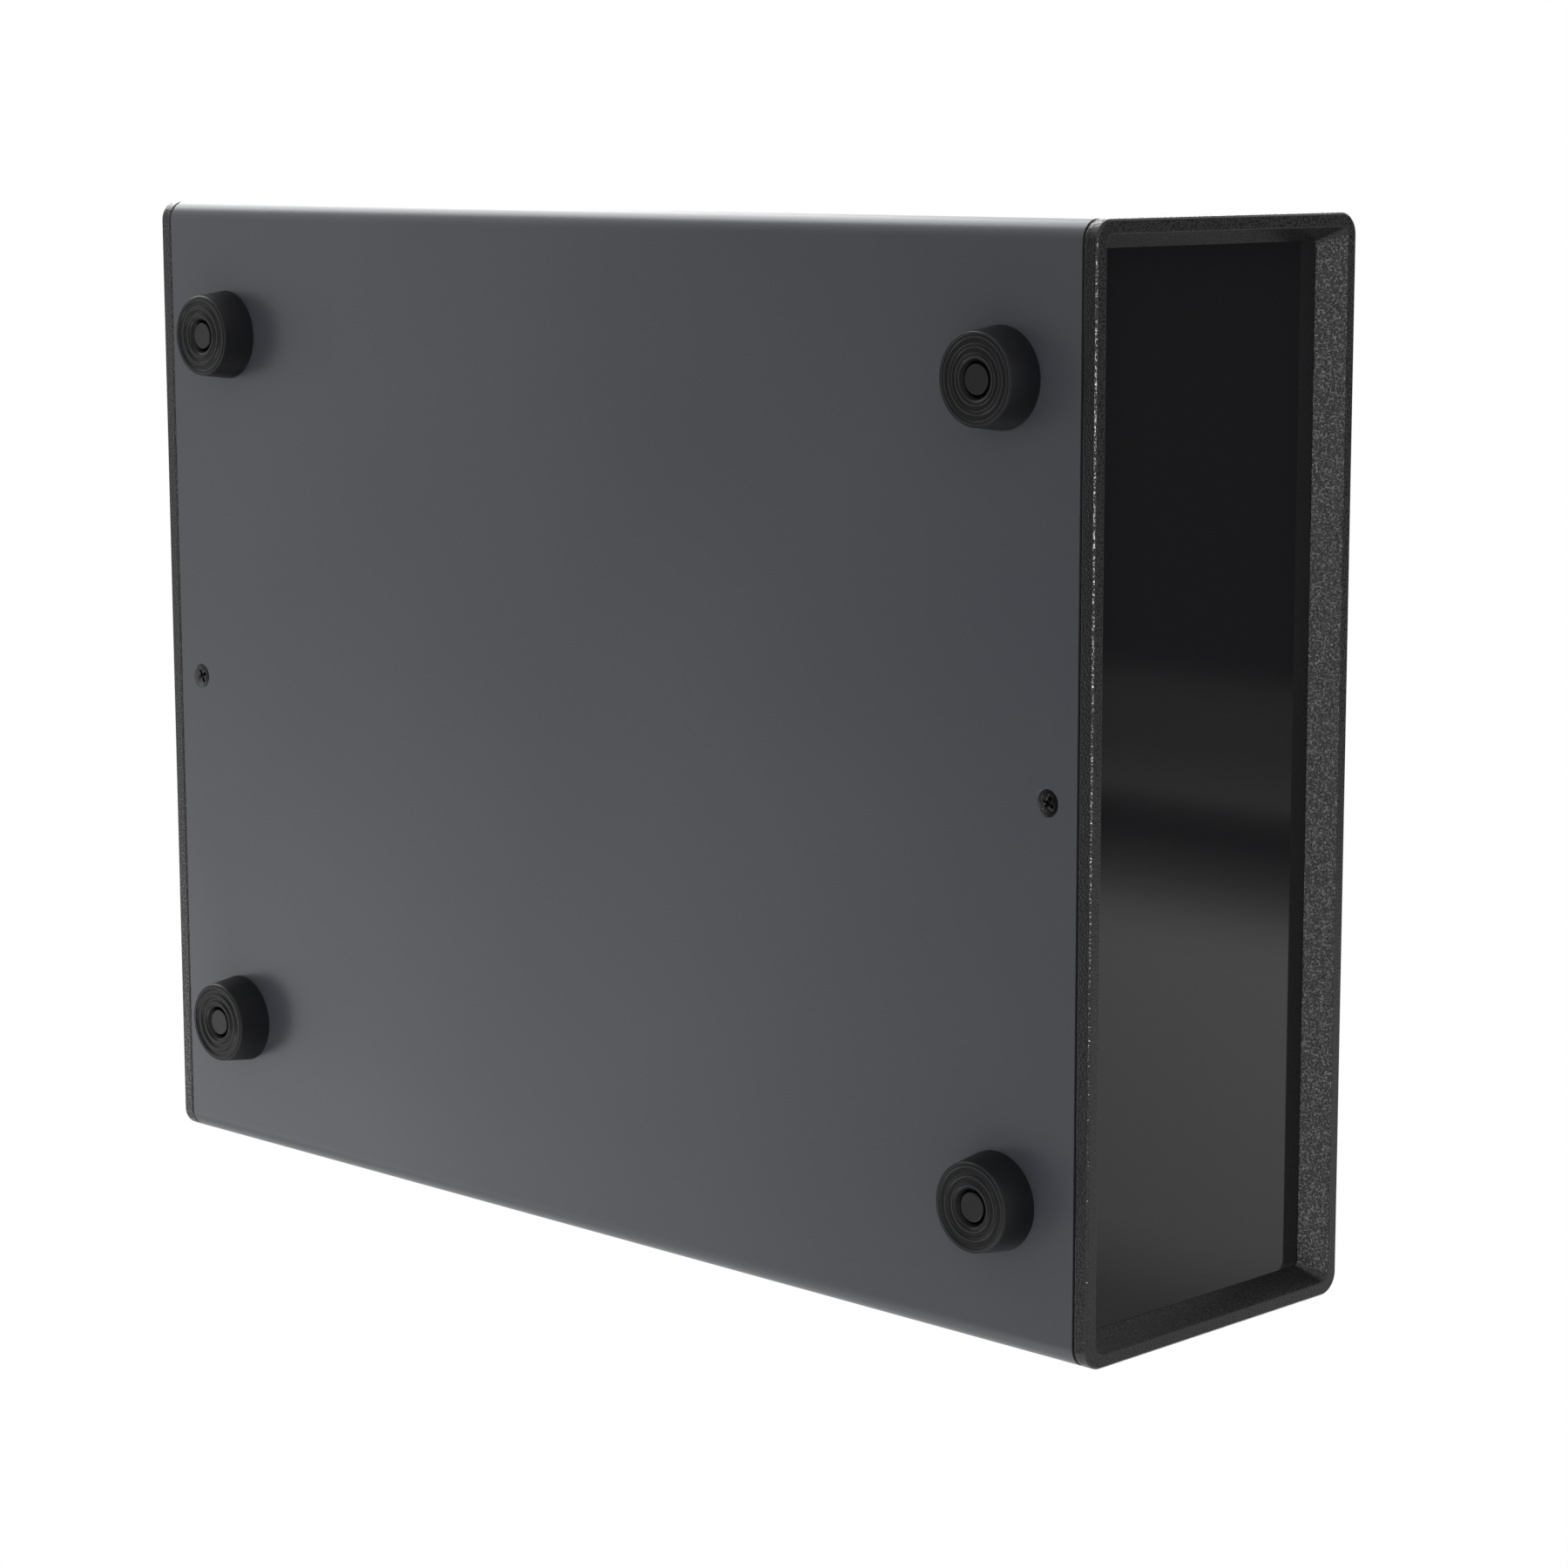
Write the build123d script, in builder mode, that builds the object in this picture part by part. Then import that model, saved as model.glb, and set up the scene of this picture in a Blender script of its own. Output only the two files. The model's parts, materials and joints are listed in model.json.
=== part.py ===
from build123d import *
import os

# Desktop instrument case: two moulded bezels tied together by a pair of steel rails, two folded
# covers that meet half way up the sides, recessed front and rear panels, and four riveted feet.
#
# Frame: X across the case, Y from front to rear with the front panel at -Y, Z up.
# The origin lies on the surface that the feet stand on, under the middle of the case.
# All sizes are in millimetres.

# ------------------------------------------------------------------ case
case_width = 220.0
case_depth = 284.0
case_height = 79.0
corner_radius = 4.4

# ------------------------------------------------------------------ covers
sheet_thickness = 1.2
cover_fit = 0.3
cover_end_gap = 0.25
cover_seam_gap = 0.4
cover_lip_reach = 5.8
cover_lip_fold = 1.7

# ------------------------------------------------------------------ bezels
bezel_side = 3.4
bezel_land = 2.75
bezel_edge_break = 0.4
recess_depth = 5.85
recess_lean = 2.9
recess_mouth_corner = 2.3
recess_floor_corner = 0.9
spigot_length = 13.5
spigot_wall = 2.2
spigot_lead_in = 0.6

# ------------------------------------------------------------------ panels
panel_thickness = 1.5
panel_fit = 0.2
hook_clearance = 0.1
hook_height = 0.8
hook_length = 2.6
hook_width = 12.0
hook_spacing = 120.0

# ------------------------------------------------------------------ side rails
rail_thickness = 1.2
rail_height = 24.0
rail_flange_reach = 7.0
rail_fold = 1.6
rail_side_fit = 0.3
rail_lip_gap = 0.3
rail_end_gap = 0.4
rail_wall_gap = 5.1
rail_tab_margin = 1.2
rail_socket_fit = 0.15
rail_socket_wall = 1.5

# ------------------------------------------------------------------ screws
screw_diameter = 3.0
screw_fit = 0.05
countersunk_head_diameter = 5.5
countersink_angle = 90.0
countersink_fit = 0.1
cover_screw_length = 8.0
cover_screw_inset = 11.0
boss_diameter = 6.0
boss_cap = 1.5
screw_tip_room = 0.7
drive_width = 3.0
drive_slot = 0.75
drive_depth = 1.0
drive_taper = 6.0

# ------------------------------------------------------------------ feet and their rivets
foot_height = 7.5
foot_base_diameter = 20.0
foot_face_diameter = 18.0
foot_side_inset = 30.0
foot_end_inset = 23.5
foot_rim_width = 1.15
foot_rim_height = 0.45
counterbore_diameter = 6.9
counterbore_depth = 3.2
rivet_head_diameter = 6.0
rivet_head_sink = 0.5
rivet_shank_diameter = 4.0
rivet_hole_fit = 0.15
rivet_tail_diameter = 5.4
rivet_tail_thickness = 1.2

# ------------------------------------------------------------------ places that several pieces share
bottom_z = foot_height
top_z = bottom_z + case_height
middle_z = (bottom_z + top_z) / 2

spigot_inset = sheet_thickness + cover_fit
pocket_inset = spigot_inset + spigot_wall
window_inset = bezel_land + recess_lean
spigot_end = bezel_side + spigot_length
panel_back = recess_depth + panel_thickness

cover_length = case_depth - 2 * (bezel_side + cover_end_gap)
lip_underside_z = middle_z + cover_seam_gap / 2
rail_top_z = lip_underside_z + sheet_thickness + rail_lip_gap + rail_thickness
rail_bottom_z = rail_top_z - rail_height
rail_web_x = case_width / 2 - pocket_inset - rail_wall_gap
rail_flange_length = case_depth - 2 * (spigot_end + rail_end_gap)
rail_tab_length = case_depth - 2 * (panel_back + rail_end_gap)
rail_middle_z = (rail_top_z + rail_bottom_z) / 2

cover_screw_y = case_depth / 2 - cover_screw_inset
foot_x = case_width / 2 - foot_side_inset
foot_y = case_depth / 2 - foot_end_inset

ends = {"front": -1, "rear": 1}
sides = {"left": -1, "right": 1}


def inset_rectangle(inset, corner=0.0):
    """Outline of the case seen from the front, drawn in by `inset` on each side."""
    outline = Rectangle(case_width - 2 * inset, case_height - 2 * inset)
    if corner > 0:
        fillet(outline.vertices(), radius=corner)


def end_plane(end, depth=0.0):
    """Plane parallel to a panel, `depth` behind the rim of that end's bezel, looking outward."""
    y = end * (case_depth / 2 - depth)
    return Plane(origin=(0, y, middle_z), x_dir=(-end, 0, 0), z_dir=(0, end, 0))


def save(part, name):
    """Label a finished piece and write it as its own STEP file."""
    part.label = name
    export_step(part, f"parts/{name}.step")


def make_bezel(end):
    """Moulded frame: rim, leaning recess, panel ledge and hooks, spigot for the covers, sockets and boss."""
    with BuildPart() as bezel:
        with BuildSketch(end_plane(end)):
            inset_rectangle(0, corner_radius)
        extrude(amount=-bezel_side)
        rim_faces = bezel.faces().sort_by(Axis.Y)
        chamfer(rim_faces[0].edges() + rim_faces[-1].edges(), length=bezel_edge_break)

        with BuildSketch(end_plane(end, bezel_side)):
            inset_rectangle(spigot_inset, corner_radius - spigot_inset)
        extrude(amount=-spigot_length)
        inner_end = bezel.faces().sort_by(Axis.Y)[-1 if end < 0 else 0]
        chamfer(inner_end.edges(), length=spigot_lead_in)

        with BuildSketch(end_plane(end, recess_depth)):
            inset_rectangle(pocket_inset)
        extrude(amount=recess_depth - spigot_end, mode=Mode.SUBTRACT)
        with BuildSketch(end_plane(end)):
            inset_rectangle(bezel_land, recess_mouth_corner)
        with BuildSketch(end_plane(end, recess_depth)):
            inset_rectangle(window_inset, recess_floor_corner)
        loft(ruled=True, mode=Mode.SUBTRACT)

        add_cover_screw_boss(end)
        for side in sides.values():
            add_rail_socket(end, side)
        add_panel_hooks(end)
    return bezel.part


def add_cover_screw_boss(end):
    """Blind boss under the cover screw, standing on the lower wall of the spigot."""
    y = end * cover_screw_y
    bore_depth = cover_screw_length - spigot_inset + screw_tip_room
    with BuildSketch(Plane.XY.offset(bottom_z + spigot_inset)) as outline:
        with Locations((0, y)):
            Circle(boss_diameter / 2)
    extrude(outline.sketch, amount=bore_depth + boss_cap)
    with Locations(Plane(origin=(0, y, bottom_z + spigot_inset), z_dir=(0, 0, -1))):
        Hole(radius=screw_diameter / 2 + screw_fit, depth=bore_depth)


def add_rail_socket(end, side):
    """Sleeve on the side wall of the spigot that the end tab of a rail slides into."""
    start = panel_back + hook_clearance
    slot_height = rail_height - 2 * rail_tab_margin + 2 * rail_socket_fit
    slot_inside = rail_web_x - rail_thickness - rail_socket_fit
    inside = slot_inside - rail_socket_wall
    outside = case_width / 2 - spigot_inset - spigot_wall / 2
    height = rail_middle_z - middle_z
    with BuildSketch(end_plane(end, start)) as sleeve:
        with Locations((-end * side * (inside + outside) / 2, height)):
            Rectangle(outside - inside, slot_height + 2 * rail_socket_wall)
        with Locations((-end * side * (slot_inside + rail_web_x) / 2, height)):
            Rectangle(rail_web_x - slot_inside, slot_height, mode=Mode.SUBTRACT)
    extrude(sleeve.sketch, amount=start - spigot_end)


def add_panel_hooks(end):
    """Snap hooks on the upper and lower walls of the spigot, close behind the panel."""
    start = panel_back + hook_clearance
    for up in (-1, 1):
        wall_z = middle_z + up * (case_height / 2 - pocket_inset)
        for x in (-hook_spacing / 2, hook_spacing / 2):
            with BuildSketch(Plane.YZ.offset(x)) as wedge:
                with BuildLine():
                    Polyline(
                        (end * (case_depth / 2 - start), wall_z),
                        (end * (case_depth / 2 - start), wall_z - up * hook_height),
                        (end * (case_depth / 2 - start - hook_length), wall_z),
                        close=True,
                    )
                make_face()
            extrude(wedge.sketch, amount=hook_width / 2, both=True)


def make_panel(end):
    """Plain plate that stands on the bezel's ledge at the bottom of the recess."""
    with BuildPart() as panel:
        with BuildSketch(end_plane(end, recess_depth)):
            inset_rectangle(pocket_inset + panel_fit)
        extrude(amount=-panel_thickness)
    return panel.part


def folded_sheet(points, radii, thickness, length):
    """Sheet of even thickness folded along Y, given the corners of its outer face in XZ."""
    with BuildSketch(Plane.XZ) as section:
        with BuildLine():
            outer_face = FilletPolyline(*points, radius=radii)
            offset(outer_face, amount=thickness, side=Side.LEFT)
        make_face()
    extrude(section.sketch, amount=length / 2, both=True)


def make_bottom_cover():
    """Folded tray with countersunk holes for its two screws and holes for the foot rivets."""
    edge_z = middle_z - cover_seam_gap / 2
    half = case_width / 2
    outer = [(-half, edge_z), (-half, bottom_z), (half, bottom_z), (half, edge_z)]
    with BuildPart() as cover:
        folded_sheet(outer, corner_radius, sheet_thickness, cover_length)
        outside = Plane(origin=(0, 0, bottom_z), z_dir=(0, 0, -1))
        with Locations(outside):
            with Locations((0, -cover_screw_y), (0, cover_screw_y)):
                CounterSinkHole(
                    radius=screw_diameter / 2 + countersink_fit,
                    counter_sink_radius=countersunk_head_diameter / 2 + countersink_fit,
                    depth=sheet_thickness,
                    counter_sink_angle=countersink_angle,
                )
            with GridLocations(2 * foot_x, 2 * foot_y, 2, 2):
                Hole(radius=rivet_shank_diameter / 2 + rivet_hole_fit, depth=sheet_thickness)
    return cover.part


def make_top_cover():
    """Folded tray whose side walls end in lips that hook under the flanges of the rails."""
    half = case_width / 2
    lip_tip = half - sheet_thickness - cover_lip_reach
    outer = [
        (lip_tip, lip_underside_z),
        (half, lip_underside_z),
        (half, top_z),
        (-half, top_z),
        (-half, lip_underside_z),
        (-lip_tip, lip_underside_z),
    ]
    radii = [cover_lip_fold, corner_radius, corner_radius, cover_lip_fold]
    notch_length = (cover_length - rail_flange_length) / 2
    notch_width = case_width - 2 * sheet_thickness
    with BuildPart() as cover:
        folded_sheet(outer, radii, sheet_thickness, cover_length)
        with BuildSketch(Plane.XY.offset(lip_underside_z)):
            with Locations((0, -(cover_length - notch_length) / 2), (0, (cover_length - notch_length) / 2)):
                Rectangle(notch_width, notch_length)
        extrude(amount=cover_lip_fold, mode=Mode.SUBTRACT)
    return cover.part


def make_rail(side):
    """Channel that ties the bezels together; its web runs on past the flanges as a tab at each end."""
    tip_top = side * (rail_web_x + rail_flange_reach)
    tip_bottom = side * (case_width / 2 - sheet_thickness - rail_side_fit)
    web = side * (rail_web_x - rail_thickness)
    outer = [(tip_top, rail_top_z), (web, rail_top_z), (web, rail_bottom_z), (tip_bottom, rail_bottom_z)]
    if side < 0:
        outer.reverse()
    with BuildPart() as rail:
        folded_sheet(outer, rail_fold, rail_thickness, rail_flange_length)
        with BuildSketch(Plane(origin=(web, 0, rail_middle_z), x_dir=(0, side, 0), z_dir=(side, 0, 0))):
            Rectangle(rail_tab_length, rail_height - 2 * rail_tab_margin)
        extrude(amount=rail_thickness)
    return rail.part


def make_countersunk_screw():
    """Flat-headed screw, head face at the origin, shank towards -Z."""
    head = countersunk_head_diameter / 2
    shank = screw_diameter / 2
    with BuildPart() as screw:
        with BuildSketch(Plane.XZ):
            with BuildLine():
                Polyline(
                    (0, 0),
                    (head, 0),
                    (shank, shank - head),
                    (shank, -cover_screw_length),
                    (0, -cover_screw_length),
                    close=True,
                )
            make_face()
        revolve(axis=Axis.Z)
        with BuildSketch():
            Rectangle(drive_width, drive_slot)
            Rectangle(drive_slot, drive_width)
        extrude(amount=-drive_depth, taper=drive_taper, mode=Mode.SUBTRACT)
    return screw.part


def make_foot():
    """Rubber foot, rim down on Z = 0, its sides drawn in, with a stepped hole for its rivet."""
    rim_inside = foot_face_diameter / 2 - foot_rim_width
    with BuildPart() as foot:
        with BuildSketch(Plane.XZ):
            with BuildLine():
                Polyline(
                    (0, foot_rim_height),
                    (rim_inside, foot_rim_height),
                    (rim_inside, 0),
                    (foot_face_diameter / 2, 0),
                    (foot_base_diameter / 2, foot_height),
                    (0, foot_height),
                    close=True,
                )
            make_face()
        revolve(axis=Axis.Z)
        with Locations(Plane(origin=(0, 0, foot_rim_height), z_dir=(0, 0, -1))):
            CounterBoreHole(
                radius=rivet_shank_diameter / 2 + rivet_hole_fit,
                counter_bore_radius=counterbore_diameter / 2,
                counter_bore_depth=counterbore_depth - foot_rim_height,
                depth=foot_height,
            )
    return foot.part


def make_foot_rivet():
    """Rivet through foot and cover, its head sunk in the foot, its tail spread on the cover."""
    with BuildPart() as rivet:
        with BuildSketch(Plane.XY.offset(rivet_head_sink)):
            Circle(rivet_head_diameter / 2)
        extrude(amount=counterbore_depth - rivet_head_sink)
        with BuildSketch(Plane.XY.offset(counterbore_depth)):
            Circle(rivet_shank_diameter / 2)
        extrude(amount=foot_height + sheet_thickness - counterbore_depth)
        with BuildSketch(Plane.XY.offset(foot_height + sheet_thickness)):
            Circle(rivet_tail_diameter / 2)
        extrude(amount=rivet_tail_thickness)
    return rivet.part


os.makedirs("parts", exist_ok=True)

for end_name, end in ends.items():
    save(make_bezel(end), f"{end_name}_bezel")
    save(make_panel(end), f"{end_name}_panel")

save(make_bottom_cover(), "bottom_cover")
save(make_top_cover(), "top_cover")

for side_name, side in sides.items():
    save(make_rail(side), f"{side_name}_rail")

for end_name, end in ends.items():
    for side_name, side in sides.items():
        foot_place = Location((side * foot_x, end * foot_y, 0))
        save(foot_place * make_foot(), f"{end_name}_{side_name}_foot")

with BuildPart() as foot_rivets:
    with GridLocations(2 * foot_x, 2 * foot_y, 2, 2):
        add(make_foot_rivet())
save(foot_rivets.part, "foot_rivets")

flat_heads = [Plane(origin=(0, end * cover_screw_y, bottom_z), z_dir=(0, 0, -1)) for end in ends.values()]
with BuildPart() as cover_screws:
    with Locations(*flat_heads):
        add(make_countersunk_screw())
save(cover_screws.part, "cover_screws")
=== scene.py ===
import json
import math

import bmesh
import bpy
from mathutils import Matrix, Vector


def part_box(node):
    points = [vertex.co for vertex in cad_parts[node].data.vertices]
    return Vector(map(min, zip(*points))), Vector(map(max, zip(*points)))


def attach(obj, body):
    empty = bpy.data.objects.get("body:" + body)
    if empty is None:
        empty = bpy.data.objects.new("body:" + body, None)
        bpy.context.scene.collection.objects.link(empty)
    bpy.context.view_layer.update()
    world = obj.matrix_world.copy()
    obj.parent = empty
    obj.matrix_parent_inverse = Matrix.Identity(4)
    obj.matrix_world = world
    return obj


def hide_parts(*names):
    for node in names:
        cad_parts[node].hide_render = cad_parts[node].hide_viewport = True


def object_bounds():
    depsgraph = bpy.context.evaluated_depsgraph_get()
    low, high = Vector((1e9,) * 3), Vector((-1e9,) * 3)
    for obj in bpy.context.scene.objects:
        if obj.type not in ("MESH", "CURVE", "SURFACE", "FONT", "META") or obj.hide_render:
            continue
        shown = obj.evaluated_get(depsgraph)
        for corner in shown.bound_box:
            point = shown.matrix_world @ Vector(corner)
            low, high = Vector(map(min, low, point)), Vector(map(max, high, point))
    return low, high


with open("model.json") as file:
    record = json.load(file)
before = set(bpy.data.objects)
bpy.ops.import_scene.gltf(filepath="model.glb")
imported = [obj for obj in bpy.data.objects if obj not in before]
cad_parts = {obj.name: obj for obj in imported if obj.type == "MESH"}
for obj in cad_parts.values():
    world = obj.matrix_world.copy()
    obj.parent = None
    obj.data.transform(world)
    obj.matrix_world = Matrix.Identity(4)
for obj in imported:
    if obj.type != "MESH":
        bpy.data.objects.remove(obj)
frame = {"nodes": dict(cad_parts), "record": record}

# %% [markdown]
# # An instrument case, dressed for its portrait
# The case comes in ready made: folded steel covers, moulded bezels, rubber feet, rivets and
# screws, each one an object in metres, standing on its feet with its front towards -Y.
# What is left to do is what Blender is good at: the finishes, the fine moulded rings under the
# feet, a small studio, and a camera that looks up at the underside.

nodes = frame["nodes"]
cad_low, cad_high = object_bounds()
case_size = cad_high - cad_low
print("pieces:", len(nodes), "case in mm:", [round(v * 1000, 1) for v in case_size])

# %% [markdown]
# ## The camera
# The portrait was taken with the case standing on its right side, so its underside faces the
# lens and the camera's up points to the left side of the case. Turning the camera instead of
# the case keeps every piece where it was made. A position and three unit vectors (right, up and
# forward) describe such a camera exactly, with no angles to get muddled.

# %% Camera: 94 mm lens, below and in front of the case, rolled onto its side
lens_mm, sensor_mm = 93.54, 36.0
camera_place = Vector((-0.1275, -0.6314, -0.5700))
camera_right = Vector((0.0022, -0.7116, 0.7026))
camera_up = Vector((-0.9871, 0.1109, 0.1154))
camera_forward = Vector((0.1601, 0.6938, 0.7022))

camera_data = bpy.data.cameras.new("portrait_camera")
camera_data.sensor_width = sensor_mm
camera_data.lens = lens_mm
camera = bpy.data.objects.new("portrait_camera", camera_data)
bpy.context.scene.collection.objects.link(camera)
camera_axes = Matrix((camera_right, camera_up, -camera_forward)).transposed()
camera.matrix_world = Matrix.Translation(camera_place) @ camera_axes.to_4x4()
bpy.context.scene.camera = camera
print("camera to case:", round((camera_place - (cad_low + cad_high) / 2).length, 3), "m")

# %% [markdown]
# ## Colours and nodes
# Colours are picked the way a designer picks them, as hex values on a screen, and shaders want
# linear light, so one function turns the first into the second. A second small function adds a
# node with its settings and links in one go, which keeps each material and each tree short.

# %% Helpers: hex colour to linear, and one way to add a node
def linear(hex_colour):
    """sRGB hex, such as "#50545A", to the linear colour that shaders use."""
    steps = [int(hex_colour[i:i + 2], 16) / 255 for i in (1, 3, 5)]
    light = [v / 12.92 if v <= 0.04045 else ((v + 0.055) / 1.055) ** 2.4 for v in steps]
    return (*light, 1.0)


def add_node(tree, kind, settings=None, **inputs):
    """Adds a node. An input, by name or as i and its number, is a value or a socket to link."""
    node = tree.nodes.new(kind)
    for name, value in (settings or {}).items():
        setattr(node, name, value)
    for name, value in inputs.items():
        numbered = name[0] == "i" and name[1:].isdigit()
        socket = node.inputs[int(name[1:]) if numbered else name.replace("_", " ")]
        if isinstance(value, bpy.types.NodeSocket):
            tree.links.new(value, socket)
        else:
            socket.default_value = value
    return node


def new_material(name):
    """An empty material, with its tree and its output node."""
    material = bpy.data.materials.new(name)
    material.use_nodes = True
    tree = material.node_tree
    tree.nodes.clear()
    return material, tree, tree.nodes.new("ShaderNodeOutputMaterial")


print("mid grey #808080 is", round(linear("#808080")[0], 3), "in linear light")

# %% [markdown]
# ## Satin paint on the covers
# The covers are folded steel sheet with a baked satin paint. It is nearly smooth: what the eye
# gets is a soft, wide reflection and a faint orange peel a couple of millimetres across, with a
# far finer tooth that stops it looking like plastic. Object coordinates are metres here, so the
# scale of a noise is one over the size of its bumps in metres.

# %% Material: satin painted steel
def scale_for(size_mm):
    """Scale of a noise whose bumps are size_mm wide, on object coordinates in metres."""
    return 1000 / size_mm


def satin_paint():
    peel_mm, tooth_mm, cloud_mm = 2.5, 0.4, 90.0
    material, tree, output = new_material("satin_painted_steel")
    place = add_node(tree, "ShaderNodeTexCoord").outputs["Object"]
    peel = add_node(tree, "ShaderNodeTexNoise", Vector=place, Scale=scale_for(peel_mm), Detail=1.0)
    tooth = add_node(tree, "ShaderNodeTexNoise", Vector=place, Scale=scale_for(tooth_mm),
                     Detail=2.0)
    cloud = add_node(tree, "ShaderNodeTexNoise", Vector=place, Scale=scale_for(cloud_mm),
                     Detail=2.0)
    shade = add_node(tree, "ShaderNodeValToRGB", Fac=cloud.outputs["Fac"])
    dark, light = shade.color_ramp.elements
    dark.position, dark.color = 0.35, linear("#4A4D54")
    light.position, light.color = 0.65, linear("#4F5157")
    rough = add_node(tree, "ShaderNodeMapRange", Value=tooth.outputs["Fac"],
                     To_Min=0.31, To_Max=0.37)
    bump = add_node(tree, "ShaderNodeBump", Strength=0.25, Distance=0.000006,
                    Height=peel.outputs["Fac"])
    fine = add_node(tree, "ShaderNodeBump", Strength=0.3, Distance=0.000006,
                    Height=tooth.outputs["Fac"], Normal=bump.outputs["Normal"])
    surface = add_node(tree, "ShaderNodeBsdfPrincipled", Base_Color=shade.outputs["Color"],
                       Roughness=rough.outputs["Result"], IOR=1.5, Normal=fine.outputs["Normal"])
    tree.links.new(surface.outputs["BSDF"], output.inputs["Surface"])
    return material


paint = satin_paint()
print("made", paint.name)

# %% [markdown]
# ## Spark-eroded ABS on the bezels
# The bezels are black ABS from a tool whose walls were spark eroded, which leaves a grain of
# tiny rounded craters about a third of a millimetre wide. A bump alone only greys such a skin.
# What the eye gets is that crater floors are glossy and their rims dull, so one noise steps the
# roughness between the two: a wall that mirrors a lamp glitters, and the others stay calm. The
# real grain is close to one pixel of the picture, so it is drawn half a millimetre wide, which
# is coarser than real but just enough to show.

# %% Material: spark-eroded black ABS
def eroded_abs():
    grain_mm, rim_roughness, floor_roughness = 0.5, 0.42, 0.14
    material, tree, output = new_material("spark_eroded_abs")
    place = add_node(tree, "ShaderNodeTexCoord").outputs["Object"]
    grain = add_node(tree, "ShaderNodeTexNoise", Vector=place, Scale=scale_for(grain_mm),
                     Detail=1.0, Roughness=0.5)
    shade = add_node(tree, "ShaderNodeValToRGB", Fac=grain.outputs["Fac"])
    dark, light = shade.color_ramp.elements
    dark.position, dark.color = 0.35, linear("#1D1D1F")
    light.position, light.color = 0.65, linear("#292929")
    rough = add_node(tree, "ShaderNodeMapRange", Value=grain.outputs["Fac"], From_Min=0.46,
                     From_Max=0.56, To_Min=rim_roughness, To_Max=floor_roughness)
    bump = add_node(tree, "ShaderNodeBump", Strength=1.0, Distance=0.00008,
                    Height=grain.outputs["Fac"])
    surface = add_node(tree, "ShaderNodeBsdfPrincipled", Base_Color=shade.outputs["Color"],
                       Roughness=rough.outputs["Result"], IOR=1.53, Specular_IOR_Level=0.36,
                       Normal=bump.outputs["Normal"])
    tree.links.new(surface.outputs["BSDF"], output.inputs["Surface"])
    return material


abs_grain = eroded_abs()
print("made", abs_grain.name)

# %% [markdown]
# ## Semi-gloss panels
# The front and rear panels are plain plates with a smooth black coat, a little short of full
# gloss. They have almost no colour of their own, and mirror the room with edges just blurred.

# %% Material: semi-gloss black coat
def gloss_coat():
    haze_mm = 30.0
    material, tree, output = new_material("semi_gloss_black_coat")
    place = add_node(tree, "ShaderNodeTexCoord").outputs["Object"]
    haze = add_node(tree, "ShaderNodeTexNoise", Vector=place, Scale=scale_for(haze_mm), Detail=3.0)
    rough = add_node(tree, "ShaderNodeMapRange", Value=haze.outputs["Fac"],
                     To_Min=0.045, To_Max=0.055)
    surface = add_node(tree, "ShaderNodeBsdfPrincipled", Base_Color=linear("#242426"),
                       Roughness=rough.outputs["Result"], IOR=1.45)
    tree.links.new(surface.outputs["BSDF"], output.inputs["Surface"])
    return material


coat = gloss_coat()
print("made", coat.name)

# %% [markdown]
# ## Moulded rubber for the feet
# The feet are black rubber, compression moulded. Rubber has a dull, faintly uneven skin with a
# weak, wide sheen: it looks softer than the ABS, and only the crests of its rings shine a little.
# The skin's noise is about a millimetre wide, near enough to the real mould skin.

# %% Material: moulded black rubber
def moulded_rubber():
    skin_mm = 1.2
    material, tree, output = new_material("moulded_black_rubber")
    place = add_node(tree, "ShaderNodeTexCoord").outputs["Object"]
    skin = add_node(tree, "ShaderNodeTexNoise", Vector=place, Scale=scale_for(skin_mm), Detail=3.0)
    bump = add_node(tree, "ShaderNodeBump", Strength=0.4, Distance=0.00004,
                    Height=skin.outputs["Fac"])
    shade = add_node(tree, "ShaderNodeValToRGB", Fac=skin.outputs["Fac"])
    dark, light = shade.color_ramp.elements
    dark.color, light.color = linear("#131416"), linear("#191A1D")
    surface = add_node(tree, "ShaderNodeBsdfPrincipled", Base_Color=shade.outputs["Color"],
                       Roughness=0.40, IOR=1.42, Specular_IOR_Level=0.34,
                       Normal=bump.outputs["Normal"])
    tree.links.new(surface.outputs["BSDF"], output.inputs["Surface"])
    return material


rubber = moulded_rubber()
print("made", rubber.name)

# %% [markdown]
# ## Nylon for the rivets
# The push rivets that hold the feet are moulded in black nylon, a little glossier than the
# rubber round them, with a skin that is uneven on the scale of a millimetre.

# %% Material: moulded black nylon
def moulded_nylon():
    skin_mm = 0.8
    material, tree, output = new_material("moulded_black_nylon")
    place = add_node(tree, "ShaderNodeTexCoord").outputs["Object"]
    skin = add_node(tree, "ShaderNodeTexNoise", Vector=place, Scale=scale_for(skin_mm), Detail=2.0)
    bump = add_node(tree, "ShaderNodeBump", Strength=0.3, Distance=0.00003,
                    Height=skin.outputs["Fac"])
    surface = add_node(tree, "ShaderNodeBsdfPrincipled", Base_Color=linear("#151517"),
                       Roughness=0.42, IOR=1.53, Specular_IOR_Level=0.38,
                       Normal=bump.outputs["Normal"])
    tree.links.new(surface.outputs["BSDF"], output.inputs["Surface"])
    return material


nylon = moulded_nylon()
print("made", nylon.name)

# %% [markdown]
# ## Blackened steel for the screws
# The cover screws are blackened steel: nearly black, with bare metal wherever the driver rubbed
# an edge. The Bevel node finds such edges, because its softened normal leaves the real one
# there, and a noise breaks the worn line up.

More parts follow.
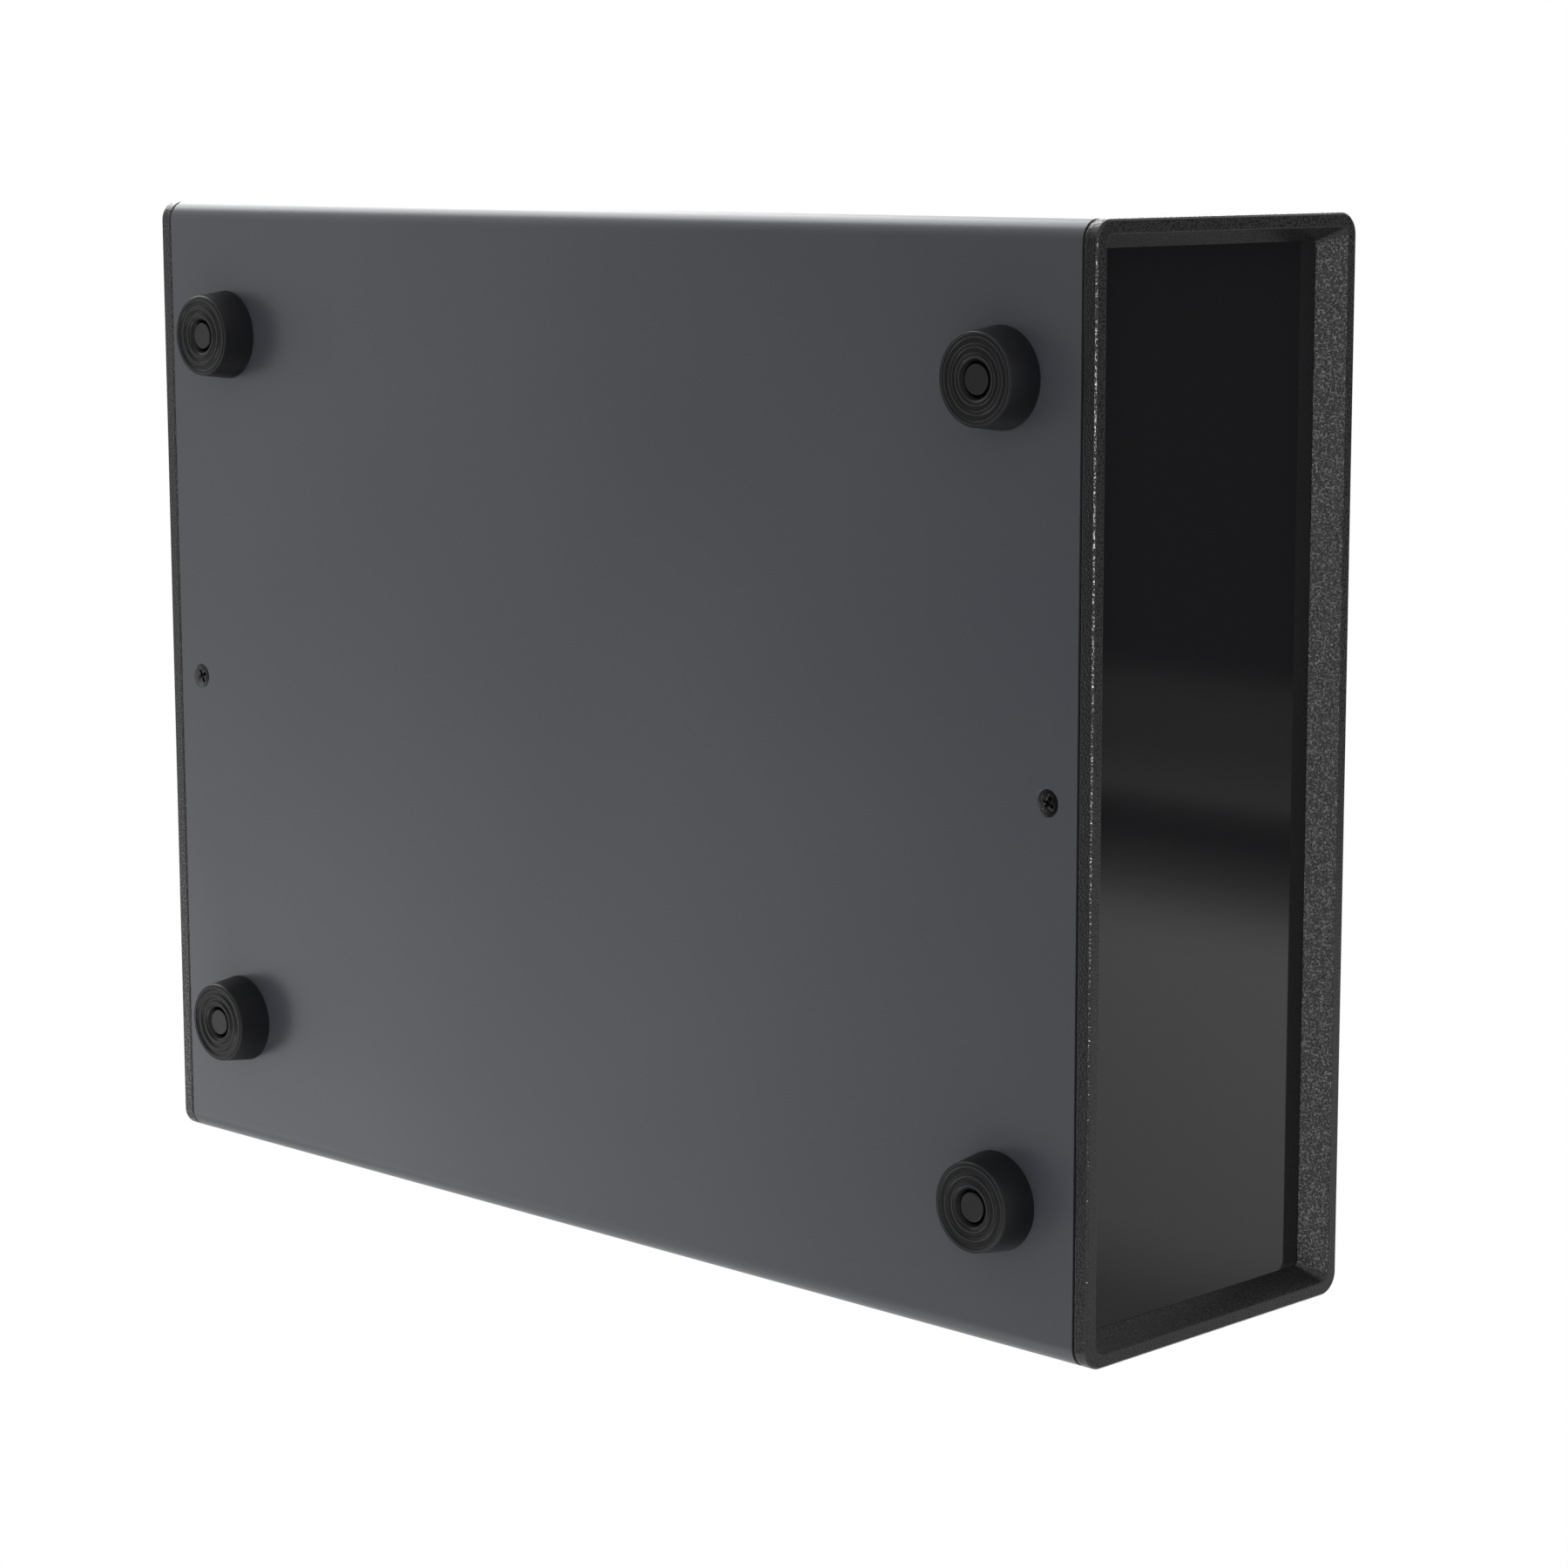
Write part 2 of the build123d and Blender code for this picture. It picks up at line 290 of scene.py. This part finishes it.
# %% Material: blackened steel with worn edges
def blackened_steel():
    mottle_mm, worn_reach = 0.5, 0.00014
    material, tree, output = new_material("blackened_steel")
    place = add_node(tree, "ShaderNodeTexCoord").outputs["Object"]
    mottle = add_node(tree, "ShaderNodeTexNoise", Vector=place, Scale=scale_for(mottle_mm),
                      Detail=2.0)
    eased = add_node(tree, "ShaderNodeBevel", {"samples": 4}, Radius=worn_reach)
    flat = add_node(tree, "ShaderNodeNewGeometry").outputs["Normal"]
    along = add_node(tree, "ShaderNodeVectorMath", {"operation": "DOT_PRODUCT"},
                     i0=eased.outputs["Normal"], i1=flat)
    edge = add_node(tree, "ShaderNodeMapRange", Value=along.outputs["Value"],
                    From_Min=0.97, From_Max=0.80)
    patchy = add_node(tree, "ShaderNodeMapRange", Value=mottle.outputs["Fac"],
                      From_Min=0.40, From_Max=0.52)
    worn = add_node(tree, "ShaderNodeMath", {"operation": "MULTIPLY"}, i0=edge.outputs["Result"],
                    i1=patchy.outputs["Result"])
    shade = add_node(tree, "ShaderNodeMix", {"data_type": "RGBA"}, Factor=worn.outputs[0],
                     i6=linear("#131315"), i7=linear("#D0D0D2"))
    bump = add_node(tree, "ShaderNodeBump", Strength=1.0, Distance=0.000015,
                    Height=mottle.outputs["Fac"])
    surface = add_node(tree, "ShaderNodeBsdfPrincipled", Base_Color=shade.outputs["Result"],
                       Metallic=worn.outputs[0], Roughness=0.26, IOR=1.5,
                       Specular_IOR_Level=0.3, Normal=bump.outputs["Normal"])
    tree.links.new(surface.outputs["BSDF"], output.inputs["Surface"])
    return material


black_steel = blackened_steel()
print("made", black_steel.name)

# %% [markdown]
# ## Zinc plate on the rails
# The rails inside are zinc plated, with a faint spangle of crystals about six millimetres wide,
# which a Voronoi texture draws as it is. They are shut in by the covers, but a part in a library
# is also taken apart, so they get a true finish too.

# %% Material: zinc plated steel
def plated_steel():
    spangle_mm = 6.0
    material, tree, output = new_material("zinc_plated_steel")
    place = add_node(tree, "ShaderNodeTexCoord").outputs["Object"]
    spangle = add_node(tree, "ShaderNodeTexVoronoi", Vector=place, Scale=scale_for(spangle_mm))
    rough = add_node(tree, "ShaderNodeMapRange", Value=spangle.outputs["Distance"],
                     To_Min=0.32, To_Max=0.45)
    surface = add_node(tree, "ShaderNodeBsdfPrincipled", Base_Color=linear("#C3C5C6"),
                       Metallic=1.0, Roughness=rough.outputs["Result"])
    tree.links.new(surface.outputs["BSDF"], output.inputs["Surface"])
    return material


zinc_steel = plated_steel()
print("made", zinc_steel.name)

# %% [markdown]
# ## Dressing the pieces
# The record names a material slot for every piece, so one table of finishes dresses them all.
# Pieces that are remade further on take their finish from the same table.

# %% Dress the imported pieces by the slot that the record gives them
finishes = {
    "cover_grey": paint, "bezel_abs": abs_grain, "panel_black": coat, "foot_rubber": rubber,
    "rivet_nylon": nylon, "rail_steel": zinc_steel, "screw_black": black_steel,
}
slot_of = {part["node"]: part["material_slot"] for part in frame["record"]["subparts"]}
for name, slot in slot_of.items():
    nodes[name].data.materials.clear()
    nodes[name].data.materials.append(finishes[slot])
print("dressed", len(slot_of), "pieces")

# %% [markdown]
# ## Edges that catch the light
# Nothing real has a perfectly sharp edge: paint pulls round the cut end of a sheet, and a mould
# leaves a tiny round. That sliver is what the eye reads as an edge, because it mirrors a lamp
# whichever way the piece is turned. An imported mesh is loose triangles, so a copy of it is
# merged first, and its flat faces are joined up until only true edges are left.

# %% A merged copy, ready for its edges to be rounded
merge_distance, flat_angle = 2e-6, math.radians(0.5)


def merged_copy(name):
    """A copy of an imported piece's mesh with its triangles joined into whole faces."""
    mesh = nodes[name].data.copy()
    work = bmesh.new()
    work.from_mesh(mesh)
    bmesh.ops.remove_doubles(work, verts=work.verts, dist=merge_distance)
    bmesh.ops.dissolve_limit(work, angle_limit=flat_angle, verts=work.verts, edges=work.edges)
    work.to_mesh(mesh)
    work.free()
    stale = [layer.name for layer in mesh.attributes
             if layer.name in ("custom_normal", "sharp_edge")]
    for layer_name in stale:
        mesh.attributes.remove(mesh.attributes[layer_name])
    mesh.polygons.foreach_set("use_smooth", [True] * len(mesh.polygons))
    return mesh


print("points closer than", round(merge_distance * 1e6), "microns count as one")

# %% [markdown]
# A Bevel modifier then rounds the copy by a fraction of a millimetre, and the copy stands for
# the piece. Hardened normals keep the broad faces flat right up to the round.

# %% Eased edges
bevel_segments, bevel_angle = 2, math.radians(30)


def ease_edges(name, round_mm):
    """Puts a copy with rounded edges in the place of an imported piece."""
    source = bpy.data.objects.new(name + "_merged", merged_copy(name))
    bpy.context.scene.collection.objects.link(source)
    bevel = source.modifiers.new("ease", "BEVEL")
    bevel.width = round_mm / 1000
    bevel.segments = bevel_segments
    bevel.limit_method = "ANGLE"
    bevel.angle_limit = bevel_angle
    bevel.harden_normals = True
    shapes = bpy.context.evaluated_depsgraph_get()
    eased = bpy.data.meshes.new_from_object(source.evaluated_get(shapes), depsgraph=shapes,
                                            preserve_all_data_layers=True)
    bpy.data.objects.remove(source)
    eased.materials.clear()
    eased.materials.append(finishes[slot_of[name]])
    piece = bpy.data.objects.new(name + "_eased", eased)
    bpy.context.scene.collection.objects.link(piece)
    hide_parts(name)
    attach(piece, "root")
    print(piece.name, "faces", len(eased.polygons), "own normals", eased.has_custom_normals)


for name, round_mm in (("front_bezel", 0.2), ("rear_bezel", 0.2), ("bottom_cover", 0.25),
                       ("top_cover", 0.25), ("foot_rivets", 0.25)):
    ease_edges(name, round_mm)

# %% [markdown]
# ## Feet with moulded rings
# A rubber foot is a compression moulding, so everything on it is turned: a drafted side, three
# rounded gripping rings with grooves between them, and a stepped hole for the rivet. One
# outline says it all. Geometry Nodes sweep that outline round a circle, which is a lathe, and
# set the result on a grid of two by two points, so four feet cost one outline and two spacings.

# %% Foot: half outline, as radius and height in millimetres
one_foot, far_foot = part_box("front_left_foot"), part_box("rear_right_foot")
foot_span = [abs(sum(v[k] for v in one_foot) - sum(v[k] for v in far_foot)) / 2 for k in (0, 1)]
foot_height = one_foot[1][2] * 1000
ring_middles, ring_half_width, groove_depth = (8.30, 6.38, 4.63), 0.58, 0.33
face_radius, face_step, face_points = 8.7, 0.1, 50
base_radius, recess_radius, recess_depth, hole_radius = 10.0, 3.45, 3.2, 2.15


def ring_height(radius):
    """Height of the ringed face above the floor: zero on a crest, groove_depth in a groove."""
    rise = 0.0
    for middle in ring_middles:
        off = abs(radius - middle) / ring_half_width
        rise = max(rise, 1.0 - off ** 3.0 if off < 1.0 else 0.0)
    return groove_depth * (1.0 - rise)


side = [(base_radius, foot_height), (9.12, 0.5), (9.03, 0.22), (8.9, 0.08)]
face_radii = [face_radius - face_step * i for i in range(face_points)]
ringed_face = [(radius, ring_height(radius)) for radius in face_radii]
recess = [(3.72, 0.5), (3.62, 0.75), (recess_radius, 0.95), (recess_radius, recess_depth)]
hole = [(hole_radius, recess_depth), (hole_radius, foot_height)]
foot_outline = side + ringed_face + recess + hole
print("outline points:", len(foot_outline), "feet apart in mm:",
      [round(v * 1000, 1) for v in foot_span])

# %% [markdown]
# The tree has seven named inputs: the outline, how many facets a turn has, the two spacings,
# the two counts of rows and the material. It ends in real geometry with its finish on, because
# instances are dropped when the model is exported.

# %% Geometry Nodes: a lathe, then a grid of copies
lathe_radius = 0.001
lathe_inputs = (
    ("Outline", "NodeSocketGeometry"), ("Facets per turn", "NodeSocketInt"),
    ("Spacing across", "NodeSocketFloat"), ("Spacing along", "NodeSocketFloat"),
    ("Rows across", "NodeSocketInt"), ("Rows along", "NodeSocketInt"),
    ("Material", "NodeSocketMaterial"),
)


def grid_lathe_tree():
    tree = bpy.data.node_groups.new("lathe_on_a_grid", "GeometryNodeTree")
    for name, kind in lathe_inputs:
        tree.interface.new_socket(name, in_out="INPUT", socket_type=kind)
    tree.interface.new_socket("Turned pieces", in_out="OUTPUT", socket_type="NodeSocketGeometry")
    given = add_node(tree, "NodeGroupInput").outputs
    line = add_node(tree, "GeometryNodeMeshToCurve", i0=given["Outline"])
    circle = add_node(tree, "GeometryNodeCurvePrimitiveCircle",
                      Resolution=given["Facets per turn"], Radius=lathe_radius)
    turned = add_node(tree, "GeometryNodeCurveToMesh", Curve=circle.outputs[0],
                      Profile_Curve=line.outputs[0])
    points = add_node(tree, "GeometryNodeMeshGrid", Size_X=given["Spacing across"],
                      Size_Y=given["Spacing along"], Vertices_X=given["Rows across"],
                      Vertices_Y=given["Rows along"])
    copies = add_node(tree, "GeometryNodeInstanceOnPoints", Points=points.outputs[0],
                      Instance=turned.outputs[0])
    real = add_node(tree, "GeometryNodeRealizeInstances", i0=copies.outputs[0])
    dressed = add_node(tree, "GeometryNodeSetMaterial", Geometry=real.outputs[0],
                       Material=given["Material"])
    add_node(tree, "NodeGroupOutput", i0=dressed.outputs[0])
    return tree


grid_lathe = grid_lathe_tree()
print("tree of", len(grid_lathe.nodes), "nodes")

# %% [markdown]
# The circle that the outline is swept round needs a radius of its own, so the outline is drawn
# that much nearer to the axis. The swept mesh is kept as a plain object: points that meet on
# the axis are merged, faces are turned outwards, and only real corners stay sharp.

# %% Running the tree on an outline
weld_distance, sharp_from = 1e-6, math.radians(35)


def run_tree(name, outline_points, tree, values):
    """Sweeps a closed outline with the tree, and keeps the result as a plain mesh object."""
    corners = [(r / 1000 - lathe_radius, -h / 1000, 0) for r, h in outline_points]
    ring = [(i, (i + 1) % len(corners)) for i in range(len(corners))]
    mesh = bpy.data.meshes.new(name + "_outline")
    mesh.from_pydata(corners, ring, [])
    source = bpy.data.objects.new(name + "_outline", mesh)
    bpy.context.scene.collection.objects.link(source)
    modifier = source.modifiers.new("turn", "NODES")
    modifier.node_group = tree
    for socket in tree.interface.items_tree:
        if socket.in_out == "INPUT" and socket.name in values:
            modifier[socket.identifier] = values[socket.name]
    shapes = bpy.context.evaluated_depsgraph_get()
    whole = bpy.data.meshes.new_from_object(source.evaluated_get(shapes))
    bpy.data.objects.remove(source)
    whole.name = name
    work = bmesh.new()
    work.from_mesh(whole)
    bmesh.ops.remove_doubles(work, verts=work.verts, dist=weld_distance)
    bmesh.ops.recalc_face_normals(work, faces=work.faces)
    volume_ml = work.calc_volume(signed=True) * 1e6
    print(name, "faces", len(work.faces), "volume in ml", round(volume_ml, 2))
    work.to_mesh(whole)
    work.free()
    whole.polygons.foreach_set("use_smooth", [True] * len(whole.polygons))
    whole.set_sharp_from_angle(angle=sharp_from)
    piece = bpy.data.objects.new(name, whole)
    bpy.context.scene.collection.objects.link(piece)
    return piece


feet = run_tree("ringed_feet", foot_outline, grid_lathe, {
    "Facets per turn": 96, "Spacing across": foot_span[0], "Spacing along": foot_span[1],
    "Rows across": 2, "Rows along": 2, "Material": rubber})
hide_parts("front_left_foot", "front_right_foot", "rear_left_foot", "rear_right_foot")
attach(feet, "root")

# %% [markdown]
# ## Screws with a cross recess
# Two countersunk screws close the cover. Their heads come off the same lathe as the feet, with
# one row across and two along: a flat face, an edge broken by a tenth of a millimetre, the
# countersunk cone, and the shank.

# %% Screws: turned heads
screws_low, screws_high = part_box("cover_screws")
head_radius = 1000 * screws_high[0]
face_height, screw_end = 1000 * screws_low[2], 1000 * screws_high[2]
screw_reach = screws_high[1] - screws_high[0]
shank_radius, broken_edge, head_rim = 1.5, 0.1, 0.15
cone_end = face_height + head_radius - shank_radius + broken_edge
screw_outline = [
    (0.0, face_height), (head_radius - 0.25, face_height),
    (head_radius - broken_edge, face_height + 0.04), (head_radius, face_height + head_rim),
    (shank_radius, cone_end), (shank_radius, screw_end), (0.0, screw_end),
]
screws = run_tree("cross_recess_screws", screw_outline, grid_lathe, {
    "Facets per turn": 64, "Spacing across": 0.0, "Spacing along": 2 * screw_reach,
    "Rows across": 1, "Rows along": 2, "Material": black_steel})

# %% [markdown]
# A driver has pressed a bright chamfer along the edges of each recess. A cutter shaped like the
# driver's tip makes both at once: wide at the face for the chamfer, and tapering below it.
# Nobody lines up a screw, so each recess lies at its own angle.

# %% Screws: the driver's tip as a cutter
tip_levels = ((0.68, 1.85, -0.1), (0.40, 1.57, 0.18), (0.20, 0.75, 1.2))  # half width, reach, depth
front_angle, rear_angle = 28.0, 61.0


def cross_ring(half_width, reach, depth, angle, middle):
    """Twelve corners of a plus sign at one depth below the head's face, in metres."""
    w, r = half_width / 1000, reach / 1000
    plus = [(r, -w), (r, w), (w, w), (w, r), (-w, r), (-w, w),
            (-r, w), (-r, -w), (-w, -w), (-w, -r), (w, -r), (w, -w)]
    turn, height = math.radians(angle), (face_height + depth) / 1000
    return [(x * math.cos(turn) - y * math.sin(turn),
             middle + x * math.sin(turn) + y * math.cos(turn), height) for x, y in plus]


def driver_tips():
    """One closed mesh with a driver's tip over each screw."""
    corners, faces = [], []
    for middle, angle in ((-screw_reach, front_angle), (screw_reach, rear_angle)):
        first = len(corners)
        for half_width, reach, depth in tip_levels:
            corners += cross_ring(half_width, reach, depth, angle, middle)
        faces.append([first + i for i in range(12)])
        faces.append([first + 24 + i for i in reversed(range(12))])
        for level in (0, 12):
            start = first + level
            faces += [[start + i, start + 12 + i, start + 12 + (i + 1) % 12, start + (i + 1) % 12]
                      for i in range(12)]
    mesh = bpy.data.meshes.new("driver_tips")
    mesh.from_pydata(corners, [], faces)
    work = bmesh.new()
    work.from_mesh(mesh)
    bmesh.ops.recalc_face_normals(work, faces=work.faces)
    work.to_mesh(mesh)
    work.free()
    return bpy.data.objects.new("driver_tips", mesh)


tips = driver_tips()
bpy.context.scene.collection.objects.link(tips)
print("cutter corners:", len(tips.data.vertices))

# %% [markdown]
# A Boolean takes the tips out of the heads. The cut faces come without a finish, so the whole
# piece is dressed again, and its corners are made sharp once more.

# %% Screws: the cut
recess_sharp_from = math.radians(25)
cut = screws.modifiers.new("recess", "BOOLEAN")
cut.operation, cut.solver, cut.object = "DIFFERENCE", "EXACT", tips
shapes = bpy.context.evaluated_depsgraph_get()
cut_mesh = bpy.data.meshes.new_from_object(screws.evaluated_get(shapes))
screws.modifiers.clear()
screws.data = cut_mesh
bpy.data.objects.remove(tips)
cut_mesh.materials.clear()
cut_mesh.materials.append(black_steel)
cut_mesh.polygons.foreach_set("material_index", [0] * len(cut_mesh.polygons))
cut_mesh.polygons.foreach_set("use_smooth", [True] * len(cut_mesh.polygons))
cut_mesh.set_sharp_from_angle(angle=recess_sharp_from)
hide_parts("cover_screws")
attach(screws, "root")
print("screw faces:", len(cut_mesh.polygons))

# %% [markdown]
# ## A pale floor that only the case's shadow lands on
# The case stands on a plain pale floor. The portrait looks up at it from below, so the floor's
# shader is clear when it is seen from behind, and paper when it is seen from above. The paper
# also fades away with distance, so no far edge of it shows against the white room.

# %% Stage: the floor's paper
def floor_paper(fade_start, fade_end):
    material, tree, output = new_material("floor_paper")
    behind = add_node(tree, "ShaderNodeNewGeometry").outputs["Backfacing"]
    place = add_node(tree, "ShaderNodeTexCoord").outputs["Object"]
    away = add_node(tree, "ShaderNodeVectorMath", {"operation": "LENGTH"}, i0=place)
    fade = add_node(tree, "ShaderNodeMapRange", {"interpolation_type": "SMOOTHSTEP"},
                    Value=away.outputs["Value"], From_Min=fade_start, From_Max=fade_end)
    gone = add_node(tree, "ShaderNodeMath", {"operation": "MAXIMUM"}, i0=behind,
                    i1=fade.outputs["Result"])
    paper = add_node(tree, "ShaderNodeBsdfDiffuse", Color=linear("#F4F4F4"))
    clear = add_node(tree, "ShaderNodeBsdfTransparent")
    both = add_node(tree, "ShaderNodeMixShader", Fac=gone.outputs[0], i1=paper.outputs[0],
                    i2=clear.outputs[0])
    tree.links.new(both.outputs[0], output.inputs["Surface"])
    return material


paper_material = floor_paper(fade_start=0.3, fade_end=1.3)
print("made", paper_material.name)


# %% Stage: the floor
def sheet_of(name, corners, material):
    """A flat four-cornered sheet with its material, linked into the scene."""
    mesh = bpy.data.meshes.new(name)
    mesh.from_pydata(corners, [], [(0, 1, 2, 3)])
    mesh.materials.append(material)
    sheet = bpy.data.objects.new(name, mesh)
    bpy.context.scene.collection.objects.link(sheet)
    return sheet


def level_corners(x_low, x_high, y_low, y_high, z):
    """Corners of a level sheet, its face upwards."""
    return [(x_low, y_low, z), (x_high, y_low, z), (x_high, y_high, z), (x_low, y_high, z)]


floor_half = 3.0
floor = sheet_of("floor", level_corners(-floor_half, floor_half, -floor_half, floor_half, 0),
                 paper_material)
floor.visible_diffuse = False
floor.visible_glossy = False
print("floor:", 2 * floor_half, "m square")

# %% [markdown]
# ## The room: white to look at, soft to be lit by
# The world does two jobs. To the lens, and to anything that mirrors it, it is plain white. As a
# light it is weaker, so that the lamps still shape the case. Light Path tells the two apart.

# %% World
seen_level, lit_level = 1.0, 0.6
world = bpy.data.worlds.new("studio")
bpy.context.scene.world = world
world.use_nodes = True
room = world.node_tree
room.nodes.clear()
rays = add_node(room, "ShaderNodeLightPath").outputs
seen = add_node(room, "ShaderNodeMath", {"operation": "MAXIMUM"}, i0=rays["Is Camera Ray"],
                i1=rays["Is Glossy Ray"])
seen = add_node(room, "ShaderNodeMath", {"operation": "MAXIMUM"}, i0=seen.outputs[0],
                i1=rays["Is Transmission Ray"])
ambient = add_node(room, "ShaderNodeBackground", Color=(1, 1, 1, 1), Strength=lit_level)
white = add_node(room, "ShaderNodeBackground", Color=(1, 1, 1, 1), Strength=seen_level)
both = add_node(room, "ShaderNodeMixShader", Fac=seen.outputs[0], i1=ambient.outputs[0],
                i2=white.outputs[0])
add_node(room, "ShaderNodeOutputWorld", Surface=both.outputs[0])
print("world looks", seen_level, "and lights", lit_level)

# %% [markdown]
# ## Cards for the mirrored light
# Black, glossy things take their look from what they mirror, so a studio hangs cards just out of
# view. Only mirrored rays see these cards, so they block no light. Each one's brightness is
# drawn along one axis, from a list of places in metres and levels, where a white wall is 1.

# %% A card for mirrored rays
def shade_card(name, corners, axis, stops):
    """A card whose brightness runs along one axis (0 for X, 1 for Y) by (place, level) stops."""
    material, tree, output = new_material(name)
    place = add_node(tree, "ShaderNodeTexCoord").outputs["Object"]
    along = add_node(tree, "ShaderNodeSeparateXYZ", Vector=place).outputs[axis]
    first, last = stops[0][0], stops[-1][0]
    spot = add_node(tree, "ShaderNodeMapRange", Value=along, From_Min=first, From_Max=last)
    ramp = add_node(tree, "ShaderNodeValToRGB", Fac=spot.outputs[0])
    while len(ramp.color_ramp.elements) < len(stops):
        ramp.color_ramp.elements.new(0.5)
    for element, (where, level) in zip(ramp.color_ramp.elements, stops):
        element.position = (where - first) / (last - first)
        element.color = (level, level, level, 1)
    glow = add_node(tree, "ShaderNodeEmission", Color=ramp.outputs["Color"], Strength=1.0)
    tree.links.new(glow.outputs[0], output.inputs["Surface"])
    card = sheet_of(name, corners, material)
    card.visible_camera = card.visible_diffuse = False
    card.visible_shadow = card.visible_transmission = False
    print(name, "with", len(stops), "stops")


# %% [markdown]
# The front card hangs above the front panel. It is black over most of its length, so the panel
# is black too. Part of the way along it turns light, with a dark gap, and the panel shows the
# same bands.

# %% The front card
shade_card("front_card", level_corners(-1.2, 0.6, -0.65, -0.33, 0.45), 0, [
    (-1.2, 0.0), (0.047, 0.0),                                            # black half
    (0.053, 0.15), (0.074, 0.16), (0.088, 0.28),                          # first, faint band
    (0.095, 0.01), (0.104, 0.01),                                         # dark gap
    (0.110, 0.16), (0.118, 0.29), (0.128, 0.72), (0.138, 0.92),           # rise to the light half
    (0.16, 0.88), (0.20, 0.79), (0.235, 0.71), (0.262, 0.36), (0.6, 0.4)  # slow fall
])

# %% [markdown]
# The low card lies far below. Its level rises to the rear, so the underside fades the same way,
# and one bright strip on it stands exactly where the far wall of the recess looks, so its grain
# glitters. A small dark card beside the lens keeps the recess wall dark in the panel's mirror.

# %% The low card and the lens side card
shade_card("low_card", level_corners(-1.5, 2.0, -1.5, 2.4, -1.2), 1, [
    (-1.5, 1.0), (-0.85, 0.6), (-0.8, 0.02),                              # far front, pale
    (-0.58, 0.02), (-0.57, 6.5), (-0.43, 6.5), (-0.42, 0.02),             # the bright strip
    (0.85, 0.03), (1.3, 0.5), (1.65, 1.15), (2.4, 1.25)                   # rise to the rear
])
card_place, card_dark = -1.6, 0.02
shade_card("lens_side_card", [(-0.3, card_place, -0.12), (0.9, card_place, -0.12),
                              (0.9, card_place, 0.2), (-0.3, card_place, 0.2)], 0,
           [(-0.3, card_dark), (0.9, card_dark)])

# %% [markdown]
# ## Lamps
# Six soft boxes. The skimming box, behind and above, lights the side wall that the lens sees at
# a very low angle, and turns it white. The side box fades that white over the bend. Three boxes
# lie low, behind, near and to the side, and lift the rear and the lower half of the underside.
# The last is a bright strip beside the lens, small and far off, which draws thin lines along
# the edges.

# %% Soft boxes
lamp_target = Vector((0.0, 0.0, 0.04))


def soft_box(name, place, width, height, brightness):
    """A lamp aimed at the case; brightness is its radiance, where a white wall is 1."""
    lamp = bpy.data.lights.new(name, "AREA")
    lamp.shape = "RECTANGLE"
    lamp.size, lamp.size_y = width, height
    lamp.energy = brightness * math.pi * width * height
    light = bpy.data.objects.new(name, lamp)
    light.location = place
    light.rotation_mode = "QUATERNION"
    light.rotation_quaternion = (lamp_target - Vector(place)).to_track_quat("-Z", "Y")
    bpy.context.scene.collection.objects.link(light)
    print(name, "watts:", round(lamp.energy, 1))


soft_box("skimming_box", (-0.30, 1.05, 1.10), 1.2, 1.2, 2.2)
soft_box("side_box", (-1.05, 1.30, 0.35), 1.2, 1.2, 4.5)
soft_box("low_rear_box", (0.75, 1.55, -1.05), 0.7, 0.7, 1.2)
soft_box("near_box", (0.45, 0.02, -0.38), 0.3, 0.3, 4.0)
soft_box("low_side_box", (0.40, 1.05, -1.05), 0.35, 0.9, 0.6)
soft_box("lens_box", (0.04, -1.13, -0.86), 0.40, 0.10, 55.0)

# %% [markdown]
# ## The view transform
# The view transform is plain, so colours come out as they were picked.

# %% Finish
bpy.context.scene.view_settings.view_transform = "Standard"
